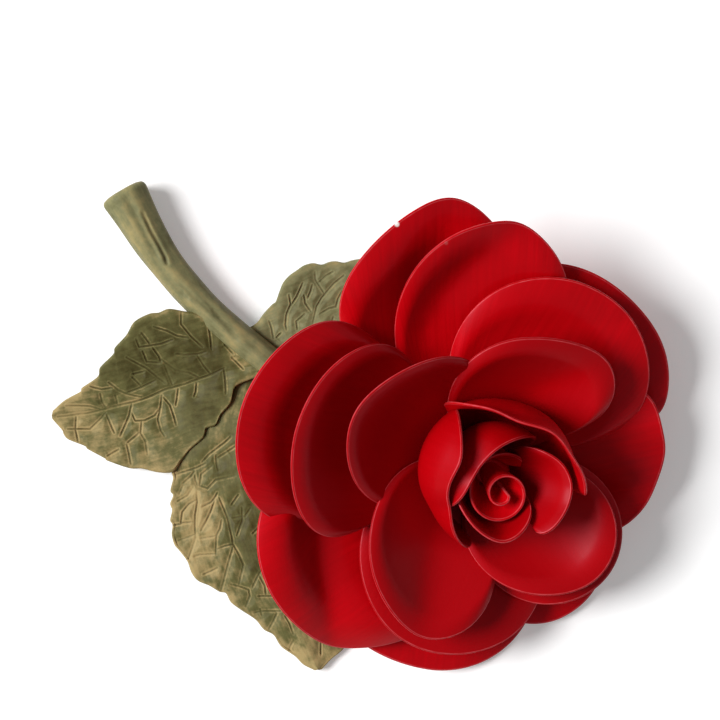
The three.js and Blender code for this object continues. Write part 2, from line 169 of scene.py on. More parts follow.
PETALS = {
    "bud_petal_wrap": Petal(121, 88, 29, 0.25, 0.5, 0.1, 8.6, 95, -66, -8, 0.25, 0, 0.6, 3),
    "bud_petal_right": Petal(-2, 50, 27.3, 0.6, 0.1, -0.1, 8.4, 44, 34, 7, 0, 0, 0.6, 3),
    "bud_petal_front": Petal(-105, 78, 25, 0.6, 0.4, 0.2, 8.4, 49, 10, 11, 0.25, 0, 0.6, 3),
    "bud_petal_left": Petal(188, 71, 35.5, 0.2, 0.35, -0.18, 6, 103, -55, -14, 0.28, 0, 0.6, 3),
    "bud_petal_back": Petal(57, 67, 41, 0.35, 0.12, 0, 5.5, 100, -48, -8, 0.4, 0, 4, 6),
    "petal_inner_front_right": Petal(-56, 68, 41.5, 1.6, 1.4, 0.4, 8.9, 92, 52, 18, 0.13, -0.3, 2, 6),
    "petal_inner_front": Petal(-138, 59, 46.5, 0.9, 0.95, 0.4, 8, 94, 53, 26, 0.4, -0.4, 2.5, 6),
    "petal_inner_right": Petal(81, 57, 43.5, 1.8, 0.4, -0.24, 7.6, 90, 50, 18, -0.6, 0.5, 3, 6),
    "petal_inner_left": Petal(148, 69, 51.7, 1.65, 1.35, 0, 6.9, 94, 31, 18, 0.06, 0, 2, 5),
    "petal_middle_front_right": Petal(-44, 58, 47, 1.45, 1.3, 0, 7, 96, 58, 8, 0.1, 0, 2.5, 8),
    "petal_middle_front": Petal(-116, 72, 52.5, 1.1, 1.7, 0.2, 6.2, 98, 62, 8, 0.1, 0, 3, 9),
    "petal_middle_left": Petal(165, 41, 64, 0.35, 0.4, -0.04, 5.4, 97, 40, 4, 0, 0, 2.5, 6),
    "petal_middle_right": Petal(63, 54, 60, 1.35, 0.45, 0, 4.4, 95, 54, 8, -0.25, 0, 4.5, 12),
    "petal_middle_back": Petal(97, 43, 73, 1.7, 0.95, -0.15, 3.2, 99, 56, 22, -0.3, 1.5, 3, 10),
    "petal_outer_left": Petal(163, 34, 77, 0.3, 0.45, -0.04, 4.2, 100, 46, 4, 0, 0, 5.5, 12),
    "petal_outer_right": Petal(12, 46, 53, 1.1, 0.3, 0, 3.3, 97, 56, 8, -0.1, 0, 2.2, 12, 0.8),
    "petal_outer_front_left": Petal(-144, 49, 70.5, 0.45, 0.95, -0.19, 2.7, 97, 60, 22, 0.6, -3, 8, 12),
    "petal_outer_back": Petal(104, 36, 79, 0.4, 1.4, -0.05, 1.8, 102, 58, 20, -0.2, 1, 5, 12),
    "petal_outer_front_right": Petal(-60, 37, 52.5, 0.45, 0.95, 0, 2.4, 94, 72, 4, 0, 0, 2, 8),
    "petal_outer_right_back": Petal(52, 42, 64, 0.4, 0.2, 0, 0.6, 95, 62, 4, 0, 0, 2.5, 9),
    "petal_outer_front": Petal(-102, 55, 61.5, 1.1, 0.25, 0, 1.6, 95, 75, 3, 0, 0, 2, 8),
}


class Leaf(NamedTuple):
    """A leaf by its midrib in space and its two margins in plan, each from base to tip, the slopes of its
    left and right halves, the veins cut into it, and patches of paint, some partly painted shade: where,
    how wide, and how far from green to tan (above 0) or to dark olive (below 0)."""

    midrib: list
    left: list
    right: list
    slopes: tuple
    veins: list
    patches: list


LEAVES = {
    "leaf_lower": Leaf(
        midrib=[(-63, 29, 4), (-68, 0, 6), (-62, -30, 6), (-51, -52, 4.5), (-43.5, -68, 2.5)],
        left=[(-59, 26), (-51.5, 10), (-50, 5), (-45.5, -3), (-44.5, -8), (-40.5, -16), (-39.8, -21),
              (-36.5, -29), (-36.2, -34), (-33.3, -42), (-33.8, -47), (-32.5, -53), (-34, -57),
              (-35.5, -61.5), (-39.5, -65), (-42.3, -68)],
        right=[(-67, 27), (-80, 8), (-86, 0), (-88, -7), (-87.6, -9.8), (-88.4, -13.5), (-87.6, -15),
               (-88.5, -17.5), (-87.9, -19.5), (-88.5, -22.5), (-87.8, -24), (-88, -27), (-87.2, -30),
               (-85.8, -31.7), (-83.3, -35), (-82, -38.5), (-80, -41), (-76.5, -42.5), (-73.5, -44.3),
               (-71.5, -44.8), (-70, -47.5), (-67, -49.8), (-62.5, -52.8), (-60, -55.8), (-57, -57.5),
               (-54.7, -61), (-50.5, -64), (-48, -66.5), (-44.5, -68.3)],
        slopes=(-0.14, -0.14),
        veins=[
            [(-87.5, -9), (-80.5, -6.5), (-77.5, -5)], [(-84.8, -11.5), (-82, -9), (-81, -7.5)],
            [(-74.3, -2.5), (-74.2, -5), (-73.8, -7.5)], [(-74, -3.5), (-71, -1.5)],
            [(-75.5, -5.8), (-79, -8.5), (-79.5, -12), (-77, -12.8), (-74.5, -10.2), (-68.5, -8.7)],
            [(-80.2, -14), (-80, -17), (-80.7, -21), (-80.6, -28), (-82, -31.5), (-83.2, -34.8)],
            [(-80.2, -16.3), (-82.5, -17.5), (-84.7, -20), (-85.3, -23.2), (-81, -23)],
            [(-88, -24), (-85, -23.5)], [(-86, -28.7), (-82.5, -27.5), (-80.5, -26.8)],
            [(-78.8, -18.5), (-76, -17), (-74.7, -15.3), (-74, -14)],
            [(-75, -16.5), (-76, -19.5), (-77.5, -23), (-79, -25.8)],
            [(-73.5, -15.5), (-72, -19), (-70.8, -22), (-69.5, -27.5), (-69.3, -29.8)],
            [(-72.8, -22.5), (-73.2, -25), (-74.3, -27), (-74.5, -33)], [(-79.5, -28), (-74.5, -27.2)],
            [(-81.5, -33.5), (-79.5, -32.8), (-74.5, -32.7)],
            [(-74, -31.2), (-71.5, -30.2), (-69.3, -29.8), (-67.5, -33), (-66, -36), (-67, -39.5),
             (-67.6, -42.3)],
            [(-69.3, -30.5), (-70.5, -35), (-72, -40.5), (-73, -44)],
            [(-78.5, -39), (-76, -38), (-74, -37)],
            [(-70, -42), (-66.5, -43), (-64.3, -43.7), (-64, -45.5), (-65.5, -48.7)],
            [(-63.3, -43), (-61.8, -39.5), (-60.7, -37.5)],
            [(-61.3, -39.3), (-59.5, -42.5), (-59.3, -45)], [(-61.5, -45.5), (-57, -45.5)],
            [(-63, -50.7), (-60, -50.2), (-55, -50)], [(-61, -49.5), (-60.5, -51.5)],
            [(-56, -50.5), (-57, -53), (-58.5, -55.8)], [(-53.5, -51.5), (-52, -54), (-51, -57)],
            [(-51, -59), (-52, -60.8), (-52.3, -62.5)], [(-42.5, -58), (-42.5, -63.5)],
            [(-67.5, -14.7), (-69.6, -17.8)], [(-66.5, -18.5), (-66.3, -22.5), (-68, -27)],
            [(-78.5, -4.6), (-76.4, -2.3), (-74, -0.5), (-71.8, 1.2), (-70, 2.8)],
            [(-71, -1.5), (-68.6, 0.1)], [(-81, -8.6), (-80.7, -10.5), (-80, -12)],
            [(-81.4, -12.4), (-83, -14.9), (-86.2, -16.7)],
            [(-64, -18.6), (-65.6, -21.1), (-69.5, -21.8)], [(-61, -24.3), (-63.3, -26.4)],
            [(-84.5, -11.8), (-85.8, -14.6)],
        ],
        patches=[(-79, -21, 7, 0.9), (-79, -33, 7, 0.7), (-70, -44, 6, 0.1), (-56, -52, 6, 0),
                 (-46, -64, 7, 0.9), (-84, -13, 4, 0.4), (-67, -23, 6, -0.9), (-63, -34, 5, -0.8),
                 (-70, -10, 7, -0.4)],
    ),
    "leaf_left": Leaf(
        midrib=[(-61, 25, 8), (-80, 20.5, 5), (-94, 15.4, 3), (-108, 11.4, 2), (-124.5, 9.2, 2)],
        left=[(-62, 21), (-68.5, 18), (-70, 13), (-73, 9.5), (-74.5, 6.4), (-77.5, 5.3), (-78.3, 2.5),
              (-82.5, -1.2), (-85, -4.5), (-87.5, -7.8), (-92, -8), (-97, -6.9), (-101, -6.7),
              (-107.5, -4.5), (-108.5, -3.7), (-113.5, -1), (-114.5, 0), (-119.5, 2), (-121, 3.7),
              (-121.4, 4.8), (-124.4, 8.2)],
        right=[(-61, 28), (-72, 35), (-79, 40), (-84, 41), (-88.5, 41.7), (-91.5, 40.6), (-94.5, 40.2),
               (-99, 37.8), (-101.5, 33.8), (-105, 30), (-105.6, 28), (-109.6, 24), (-110.4, 21.2),
               (-115.2, 17.8), (-115.6, 16.7), (-120.5, 14), (-124.2, 10.8)],
        slopes=(0.06, 0.3),
        veins=[
            [(-122.5, 9), (-114, 10), (-108, 11.4), (-104.4, 12.2), (-100, 13.3), (-95, 15),
             (-90, 17.2), (-83.6, 18.9), (-79.2, 20.7), (-75.8, 22), (-71.8, 23.7)],
            [(-120, 12.3), (-113, 12.2), (-108.5, 11)], [(-112.5, 18.2), (-109, 17.3), (-105.8, 17.6)],
            [(-107, 19.3), (-104, 16.8), (-101.5, 15.8), (-97, 15)],
            [(-102, 16), (-97, 18.2), (-92.8, 20)], [(-100, 21.3), (-97.3, 18.6)],
            [(-99.8, 22), (-96.3, 22.8)], [(-109.5, 16), (-109, 13.5), (-108, 11.8)],
            [(-105, 15.5), (-104.3, 12.5)], [(-101.5, 27), (-95.5, 23.7), (-92, 20.7), (-89.6, 19)],
            [(-98.5, 32.5), (-97.5, 30.2), (-94.5, 30.5), (-91, 31), (-87.5, 32.3)],
            [(-97, 34.5), (-94.3, 31)], [(-96.5, 29), (-95.3, 25.7), (-91, 25.3)],
            [(-93.5, 30), (-91.5, 27.3), (-90.8, 25.3)],
            [(-91, 26.5), (-86.3, 23), (-82.5, 22.3), (-79.5, 20.8)],
            [(-89.8, 24.5), (-88.5, 21), (-87.5, 18.5)],
            [(-93, 36.3), (-89, 35), (-86, 33.5), (-82.5, 33)],
            [(-84.7, 40.5), (-84.7, 37), (-81.5, 33.2), (-78.3, 30.3)],
            [(-86.5, 28), (-84, 27.7), (-80, 28), (-77.3, 28.8)], [(-80, 27.5), (-78, 24.3), (-76, 22)],
            [(-76.5, 36), (-76, 33), (-75.5, 29.5)], [(-117, 9), (-117.2, 5), (-116.5, 1.5)],
            [(-119.5, 5.2), (-112.8, 5.3), (-110, 8), (-108, 10.3)],
            [(-108, 10), (-106.5, 6.5), (-105.3, 4)],
            [(-100, 13), (-100.8, 9.5), (-102.5, 5.5), (-103.5, 3)],
            [(-100, 10), (-99, 7.8), (-96, 8), (-93, 9.3), (-91.8, 11)],
            [(-91, 15.5), (-91.5, 11.5), (-92, 8), (-91, 4.5), (-90, 3)],
            [(-90.5, 14.8), (-88.5, 12.5), (-87.3, 9), (-86.5, 6.5)],
            [(-85.8, 17.5), (-86.2, 14.5), (-86.7, 12.5)], [(-80.3, 19.3), (-80.5, 16.5), (-81, 15)],
            [(-72, 23.5), (-71.5, 19.5), (-71.3, 16)],
            [(-97, 8), (-97.5, 4), (-96, 1.5), (-95.4, -2.5)],
            [(-101.5, 0.5), (-100.8, -2.5), (-100.2, -5.5)], [(-101.3, 1), (-98, 4)],
            [(-104, -1), (-107.5, -3)], [(-71.8, 31), (-69, 28)], [(-70.5, 32), (-67.3, 28)],
            [(-69.5, 27), (-66, 23.5)],
        ],
        # Dark patches over the upper half and by the stem's foot: partly dark wash, partly painted shade of
        # the fold and the stem
        patches=[(-96, 31, 9, -0.5), (-86, 32, 9, -0.4), (-76, 27, 6, -1.6), (-102, 23, 6, -0.7),
                 (-90, 22, 5, -0.4), (-78, 13, 7, -0.7), (-84, 5, 5, -0.2), (-92, -4, 5, 0.5),
                 (-96, 4, 4, 0.2), (-105, 0, 5, 0.3), (-113, 4, 5, 0.4), (-120, 10, 6, 0.7),
                 (-115, 15, 3, 0.6), (-69, 28, 3, 0.7)],
    ),
    "leaf_upper": Leaf(
        midrib=[(-64, 33, 4), (-55, 37, 5), (-40, 44, 5.5), (-25, 52, 6), (-12, 56, 7)],
        left=[(-67, 35), (-62.5, 37.2), (-60, 40.3), (-57.5, 43), (-56.3, 44), (-55.2, 47), (-54, 49.8),
              (-52, 52), (-50, 53.4), (-48, 54.8), (-46, 55.5), (-44.5, 55.6), (-42.3, 55.2), (-40, 56),
              (-38, 56.2), (-35.5, 55.8), (-33, 56.5), (-30, 57), (-20, 58), (-12, 57.5)],
        right=[(-62, 30), (-50, 28), (-35, 32), (-22, 42), (-12, 54)],
        slopes=(0.08, 0.08),
        veins=[
            [(-58.3, 38), (-57.6, 36), (-57, 32.8)], [(-56.2, 33), (-54.7, 34.5)],
            [(-52.2, 46), (-51.6, 43), (-52.8, 40), (-53.3, 37), (-53, 35.5)],
            [(-51.5, 42.8), (-49.8, 45.5), (-48, 49.5)], [(-47.7, 45.8), (-47.3, 43.5), (-45.5, 41)],
            [(-46.6, 45), (-45.6, 47), (-45, 49)],
            [(-44.3, 53), (-44, 50.5), (-42.8, 48.5), (-41.2, 46)],
            [(-43.2, 49.6), (-41, 51.8), (-39, 53)],
            [(-45.1, 37), (-44.5, 39.5), (-43.8, 42.5), (-42.3, 45), (-38.5, 49.5), (-35.7, 51.8)],
            [(-47.5, 40.3), (-50, 38), (-49.7, 35.5)],
            [(-43, 40), (-40, 41.7), (-37.8, 42.3), (-37.3, 44.5), (-36, 47)],
            [(-39.4, 37.5), (-38.8, 39.3)],
        ],
        patches=[(-47, 44, 15, -0.4), (-58, 38, 4, 0.1), (-46, 38, 4, 0.1), (-37, 47, 4, 0.1),
                 (-40, 54, 3, 0.1), (-49, 49, 5, -0.4), (-43, 43, 4, -0.3), (-33, 53, 3, -0.9)],
    ),
}

# Cuts in the clay: how wide and deep a vein is, and the burr beside it, reach in widths of the cut
VEIN_WIDTH = 0.2
VEIN_DEPTH = 0.27
BURR_REACH = 2.3
BURR_HEIGHT = 0.12

# A cut is worked out this many widths about its stroke, and is shallower at the stroke's ends
CUT_REACH = 5
CUT_END_DEPTH = 0.6
CUT_END_GROWTH = 3

# The veins wander and fade, as cut by hand, and the clay swells between them
WANDER_REACH = 0.2
WANDER_PITCH = 2
FADE_MEAN = 0.75
FADE_SWING = 0.6
FADE_LEAST = 0.3
FADE_PITCH = 3
SWELL_HEIGHT = 0.35
SWELL_PITCH = 2.5
QUILT_WIDTH = 1.6
QUILT_DEPTH = 0.6

# Each leaf draws its unevenness from seeds this far apart
LEAF_SEED_STEP = 100

# Scar of a side shoot on the stem, and the soft creases that run along it
STEM_SCAR = [[(-96.3, 70.5), (-93.8, 65), (-91.2, 60.5), (-89.7, 57.5), (-89, 55.3)]]
SCAR_WIDTH = 0.5
SCAR_DEPTH = 0.8
STEM_CREASES = [
    [(-105.5, 69), (-100.5, 60.5), (-96, 54)], [(-101, 75), (-97, 68), (-92, 58)],
    [(-92.5, 55), (-88, 50), (-83, 45)], [(-86, 50), (-80, 44.5), (-75, 40.5)],
    [(-77, 43), (-71.5, 37), (-68, 33)],
]
CREASE_WIDTH = 0.9
CREASE_DEPTH = 0.35
CREASE_STAIN = 0.2
CREASE_TAN = 0.5
SCAR_TAN = 0.4
STEM_PATCHES = [
    (-102, 64, 3, 0.3), (-93, 52, 3, 0.3), (-88, 50, 2.5, 0.4), (-82, 45, 3, 0.5), (-75, 38, 4, -0.5),
    (-69, 33, 3, 0.4), (-90, 61, 3, -0.4), (-79, 46, 5, -0.4), (-103, 75, 4, -0.2), (-98, 66, 3, 0.5),
]


def unit(vectors):
    """Each vector divided by its length."""
    return vectors / np.maximum(np.linalg.norm(vectors, axis=-1, keepdims=True), 1e-12)


# Unevenness is a sum of this many waves, of pitches drawn between these bounds
WAVES = 5
WAVE_PITCHES = (0.6, 1.5)


def ripple(u, v, seed):
    """Smooth unevenness between -1 and 1: the mean of sine waves of seeded direction, pitch and phase."""
    rng = np.random.default_rng(seed)
    turns = rng.uniform(0, 2 * np.pi, WAVES)
    phases = rng.uniform(0, 2 * np.pi, WAVES)
    pitches = rng.uniform(*WAVE_PITCHES, WAVES)
    return sum(
        np.sin(pitch * (u * math.cos(turn) + v * math.sin(turn)) + phase)
        for turn, phase, pitch in zip(turns, phases, pitches)
    ) / WAVES


def flower_to_table(points):
    """Points of the flower's frame in the table's: tilted forwards along the lean, lifted to the heart."""
    lean = math.radians(FLOWER_LEAN)
    tilt = math.radians(FLOWER_TILT)
    forward = np.array([math.cos(lean), math.sin(lean), 0])
    axis = np.cross([0, 0, 1], forward)
    turned = (
        points * math.cos(tilt)
        + np.cross(axis, points) * math.sin(tilt)
        + axis * (points @ axis)[..., None] * (1 - math.cos(tilt))
    )
    return turned + forward * HEART_HEIGHT * math.tan(tilt) + np.array([0, 0, HEART_HEIGHT])


def ring_mesh(name, rings, measures):
    """Closed mesh through equal rings of points. Neighbouring rings are joined by quads, and each end ring
    is zipped shut between the points that face each other across it. The quads are turned to face outwards,
    which makes the volume under them positive. measures become attributes of the points."""
    count, around = rings.shape[:2]
    index = np.arange(count * around).reshape(count, around)
    after = np.roll(index, -1, axis=1)
    walls = np.stack([index[:-1], after[:-1], after[1:], index[1:]], axis=-1).reshape(-1, 4)
    step = np.arange(around // 2 - 1)
    zipper = np.stack([step, around - 1 - step, around - 2 - step, step + 1], axis=-1)
    quads = np.concatenate([walls, zipper, index[-1, 0] + zipper[:, ::-1]])
    points = rings.reshape(-1, 3)
    corners = points[quads]
    volume = np.einsum("ij,ij->", corners[:, 0], np.cross(corners[:, 1], corners[:, 2]))
    volume += np.einsum("ij,ij->", corners[:, 0], np.cross(corners[:, 2], corners[:, 3]))
    if volume < 0:
        quads = quads[:, ::-1]
    mesh = bpy.data.meshes.new(name)
    mesh.vertices.add(len(points))
    mesh.vertices.foreach_set("co", (points * MM).astype(np.float32).ravel())
    mesh.loops.add(quads.size)
    mesh.loops.foreach_set("vertex_index", quads.astype(np.int32).ravel())
    mesh.polygons.add(len(quads))
    mesh.polygons.foreach_set("loop_start", np.arange(0, quads.size, 4, dtype=np.int32))
    mesh.polygons.foreach_set("use_smooth", np.ones(len(quads), dtype=bool))
    mesh.update()
    mesh.validate()
    for key, values in measures.items():
        attribute = mesh.attributes.new(key, "FLOAT", "POINT")
        spread = np.broadcast_to(values, rings.shape[:2])
        attribute.data.foreach_set("value", spread.astype(np.float32).ravel())
    return mesh


def sheet_rings(middle, root_thickness, rim_thickness):
    """Clay of tapering thickness about a middle surface of rows (root to rim) by columns. Each ring runs up
    the inner face, round the rim on a half circle and down the outer face; the side edges are rounded off.
    Also gives, for every point in millimetres, the way along from the root, the way across and the distance
    to the nearest edge."""
    up = np.gradient(middle, axis=0)
    over = np.gradient(middle, axis=1)
    normal = unit(np.cross(up, over))
    outward = unit(up - normal * np.sum(up * normal, axis=-1, keepdims=True))
    along = np.cumsum(np.linalg.norm(up, axis=-1), axis=0)
    across = np.cumsum(np.linalg.norm(over, axis=-1), axis=1)
    to_side = np.minimum(across, across[:, -1:] - across)
    to_rim = along[-1:] - along
    share = np.linspace(0, 1, len(middle))[:, None]
    half = (root_thickness + (rim_thickness - root_thickness) * share) / 2
    rounding = np.sqrt(1 - (1 - np.clip(to_side / half, 0, 1)) ** 2)
    half = (half * np.maximum(rounding, LEAST_THICKNESS_SHARE))[..., None]
    angles = RIM_ANGLES[:, None, None]
    rim = middle[-1] + half[-1] * (np.sin(angles) * normal[-1] + np.cos(angles) * outward[-1])
    rings = np.concatenate([middle + half * normal, rim, (middle - half * normal)[::-1]])
    centred = across - across[:, -1:] / 2
    edge = np.minimum(to_side, to_rim)
    bare = np.zeros_like(rim[..., 0])
    measures = {
        "along": np.concatenate([along, bare + along[-1], along[::-1]]).T,
        "across": np.concatenate([centred, bare + centred[-1], centred[::-1]]).T,
        "edge": np.concatenate([edge, half[-1, :, 0] * np.abs(angles[..., 0]), edge[::-1]]).T,
    }
    return np.swapaxes(rings, 0, 1), measures


def petal_middle(petal, share, side, seed):
    """Middle of a petal's clay in the flower's frame. side fans the petal about its bearing, share runs
    along each ray from root to rim. A ray is an arc away from the axis, as long as the cosine of the fan to
    a power makes it; off the arc, the clay rises from the valley towards the sides, curls out at the lip,
    waves in the flutes and is a little uneven."""
    angle = np.radians(PETAL_EDGE_ANGLE * side)
    across = np.sin(angle)
    drawn = np.where(across > 0, petal.left, petal.right)
    ray = petal.reach * np.cos(angle) ** drawn * (1 + petal.skew * across)
    ray = ray * (1 + UNEVEN_RIM * ripple(side * RIM_RIPPLES, 0 * side, seed + RIM_SEED))
    part = share * ray / petal.reach
    start = math.radians(petal.start)
    bend = math.radians(petal.end - petal.start)
    slope = start + bend * part
    arc = petal.reach / bend
    radius = PETAL_ROOT_RADIUS + arc * (math.cos(start) - np.cos(slope))
    height = FIRST_SEAT + SEAT_STEP * petal.level + arc * (np.sin(slope) - math.sin(start))
    crease = petal.valley + petal.sweep * (1 - part)
    off = np.hypot(across - crease, VALLEY_SOFTNESS) - VALLEY_SOFTNESS
    valley = off / (1 + VALLEY_EASE * off)
    ray_share = ray / petal.reach
    curl = np.maximum(0, 1 - (1 - share) * petal.reach / petal.fold)
    rise = petal.cup * part ** CUP_GROWTH * valley - petal.lip * ray_share * curl ** 2
    rise = rise + petal.flute * part ** FLUTE_GROWTH * np.cos(2 * np.pi * across / FLUTE_PITCH)
    uneven = ripple(across * CLAY_RIPPLES_ACROSS, part * CLAY_RIPPLES_ALONG, seed)
    rise = rise + UNEVEN_CLAY * part * uneven
    bearing = np.radians(petal.turn + petal.half * across)
    distance = radius - np.cos(slope) * rise
    height = height + np.sin(slope) * rise
    return np.stack([distance * np.cos(bearing), distance * np.sin(bearing), height], axis=-1)


def petal_piece(name, petal, seed):
    """Petal of clay about its middle, with painted shade at the root that fades out a set way up from it,
    and painted shade from the bud that grows with the seat's level."""
    share = np.linspace(0, 1, PETAL_ROWS)[:, None]
    side = np.linspace(-1, 1, PETAL_COLUMNS)[None, :]
    middle = petal_middle(petal, share, side, seed)
    rings, measures = sheet_rings(middle, PETAL_ROOT_THICKNESS, PETAL_RIM_THICKNESS)
    # Painted shade deep at the root, fading out towards the rim
    measures["root_shade"] = np.clip(1 - measures["along"] / ROOT_SHADE_REACH, 0, 1)
    # Painted shade from the bud: the higher the petal's seat, the darker its red
    bud_shade = (petal.level - BUD_SHADE_START_LEVEL) / (BUD_SHADE_FULL_LEVEL - BUD_SHADE_START_LEVEL)
    measures["bud_shade"] = np.clip(bud_shade, 0, 1)
    return ring_mesh(name, flower_to_table(rings), measures)


def spiral_piece(name):
    """Strip of clay rolled on a widening spiral, leaning in towards its foot on the core; its rim drops
    as it unrolls, and drops further along the tail."""
    up = np.linspace(0, 1, PETAL_ROWS)[:, None]
    roll = np.linspace(0, 1, SPIRAL_COLUMNS)[None, :]
    turn = math.radians(SPIRAL_START) + roll * SPIRAL_TURNS * 2 * np.pi
    radius = SPIRAL_INNER_RADIUS + (SPIRAL_OUTER_RADIUS - SPIRAL_INNER_RADIUS) * roll
    radius = radius * (SPIRAL_FOOT_SCALE + (1 - SPIRAL_FOOT_SCALE) * up)
    tail = np.clip((roll - 1 + SPIRAL_TAIL_SHARE) / SPIRAL_TAIL_SHARE, 0, 1)
    height = CORE_HEIGHT + up * (SPIRAL_HEIGHT - SPIRAL_DROP * roll - SPIRAL_TAIL_DROP * tail ** 2)
    across = radius * np.cos(turn) + SPIRAL_LEAN[0] * up
    forward = radius * np.sin(turn) + SPIRAL_LEAN[1] * up
    middle = np.stack([across, forward, height + 0 * turn], axis=-1)
    rings, measures = sheet_rings(middle, SPIRAL_THICKNESS, PETAL_RIM_THICKNESS)
    return ring_mesh(name, flower_to_table(rings), measures)


def bezier(points, share):
    """Bezier curve through the first and last of three or four control points."""
    points = [np.asarray(point, float) for point in points]
    while len(points) > 1:
        points = [a + (b - a) * share for a, b in zip(points, points[1:])]
    return points[0]


def lathe_rings(radius, height):
    """Surface of revolution about the flower's axis of a profile that starts and ends near the axis."""
    turn = np.linspace(0, 2 * np.pi, LATHE_SIDES, endpoint=False)[None, :]
    radius = radius[:, None]
    return np.stack([radius * np.cos(turn), radius * np.sin(turn), height[:, None] + 0 * turn], axis=-1)


def plain_measures(rings):
    """Measures of a piece with no rims or veins that show: everywhere far from an edge."""
    far = np.full(rings.shape[:2], FAR_FROM_EDGE)
    none = np.zeros(rings.shape[:2])
    return {"along": far, "across": none, "edge": far, "groove": none, "ridge": none}


def core_piece(name):
    """Cone that swells towards its base: a quadratic curve turned about the axis, closed by flat ends."""
    share = np.linspace(0, 1, LATHE_ROWS)[:, None]
    middle = CORE_HEIGHT / 2
    bends = [(CORE_BASE_RADIUS, 0), (CORE_BASE_RADIUS, middle), (CORE_TOP_RADIUS, CORE_HEIGHT)]
    profile = np.concatenate([[(AXIS_RADIUS, 0)], bezier(bends, share), [(AXIS_RADIUS, CORE_HEIGHT)]])
    rings = flower_to_table(lathe_rings(profile[:, 0], profile[:, 1]))
    return ring_mesh(name, rings, plain_measures(rings))


def receptacle_piece(name):
    """Hip under the flower: a cubic curve turned about the flower's axis, ground flat on the table."""
    share = np.linspace(0, 1, LATHE_ROWS)[:, None]
    belly = RECEPTACLE_RADIUS + RECEPTACLE_BULGE
    bends = [(AXIS_RADIUS, -RECEPTACLE_DEPTH), (belly, -RECEPTACLE_DEPTH),
             (belly, -RECEPTACLE_DEPTH / 2), (RECEPTACLE_RADIUS, 0)]
    profile = np.concatenate([bezier(bends, share), [(AXIS_RADIUS, 0)]])
    rings = flower_to_table(lathe_rings(profile[:, 0], profile[:, 1]))
    rings[..., 2] = np.maximum(rings[..., 2], 0)
    return ring_mesh(name, rings, plain_measures(rings))


def stem_radius(share):
    """Radius that flares towards the cut end with the square of the way left in the flare."""
    flare = np.maximum(0, 1 - share / STEM_FLARE_SHARE)
    return STEM_RADIUS + (STEM_TIP_RADIUS - STEM_RADIUS) * flare ** 2


def smooth_path(points, count):
    """Cubic curve through points, with each tangent along its neighbours, at even steps of its length."""
    points = np.asarray(points, float)
    tangents = np.gradient(points, axis=0)
    fine = np.linspace(0, len(points) - 1, PATH_FINENESS * len(points))
    cell = np.minimum(fine.astype(int), len(points) - 2)
    t = (fine - cell)[:, None]
    a, b = points[cell], points[cell + 1]
    from_a, from_b = tangents[cell], tangents[cell + 1]
    curve = (
        (1 + 2 * t) * (1 - t) ** 2 * a + t * (1 - t) ** 2 * from_a
        + t ** 2 * (3 - 2 * t) * b + t ** 2 * (t - 1) * from_b
    )
    length = np.concatenate([[0], np.cumsum(np.linalg.norm(np.diff(curve, axis=0), axis=1))])
    even = np.linspace(0, length[-1], count)
    return np.stack([np.interp(even, length, column) for column in curve.T], axis=-1), even


def stem_piece(name):
    """Flared round section carried along the stem's path: each ring is a circle made uneven by long ridges,
    and the cut end is rounded over and closed. The scar and the creases are cut in from above."""
    way = np.linspace(0, 1, len(STEM_PATH))
    heights = np.maximum(stem_radius(way), STEM_TIP_RADIUS + (STEM_END_HEIGHT - STEM_TIP_RADIUS) * way)
    path, length = smooth_path([(x, y, z) for (x, y), z in zip(STEM_PATH, heights)], STEM_ROWS)
    share = (length / length[-1])[:, None]
    turn = np.linspace(0, 2 * np.pi, STEM_SIDES, endpoint=False)[None, :]
    ridges = sum(height * np.sin(count * turn + twist * share) for count, twist, height in STEM_RIDGES)
    lumps = STEM_LUMPS * ripple(share * STEM_LUMPS_ALONG, np.sin(turn) * STEM_LUMPS_AROUND, STEM_SEED)
    rounding = np.clip(length[:, None] / STEM_END_ROUNDING, 0, 1)
    shrink = stem_radius(share) - STEM_END_ROUNDING * (1 - np.sqrt(1 - (1 - rounding) ** 2))
    radius = shrink * (1 + ridges + lumps)
    along = unit(np.gradient(path, axis=0))
    sideways = unit(np.cross([0, 0, 1], along))
    up = np.cross(along, sideways)
    rings = path[:, None] + radius[..., None] * (
        np.cos(turn)[..., None] * sideways[:, None] + np.sin(turn)[..., None] * up[:, None])
    plan = rings[..., :2]
    above = np.sin(turn) > 0
    depth, burr = carve(plan, STEM_SCAR, SCAR_WIDTH)
    crease, ridge = carve(plan, STEM_CREASES, CREASE_WIDTH)
    relief = BURR_HEIGHT * (burr + ridge) - SCAR_DEPTH * depth - CREASE_DEPTH * crease
    rings[..., 2] = np.maximum(rings[..., 2] + above * relief, 0)
    measures = {
        "along": length[:, None],
        "across": radius * (turn - np.pi / 2),
        "edge": length[:, None],
        "groove": above * np.maximum(depth, CREASE_STAIN * crease),
        "ridge": above * np.maximum(SCAR_TAN * burr, CREASE_TAN * ridge),
        "tone": paint_tone(plan, STEM_PATCHES),
    }
    return ring_mesh(name, rings, measures)


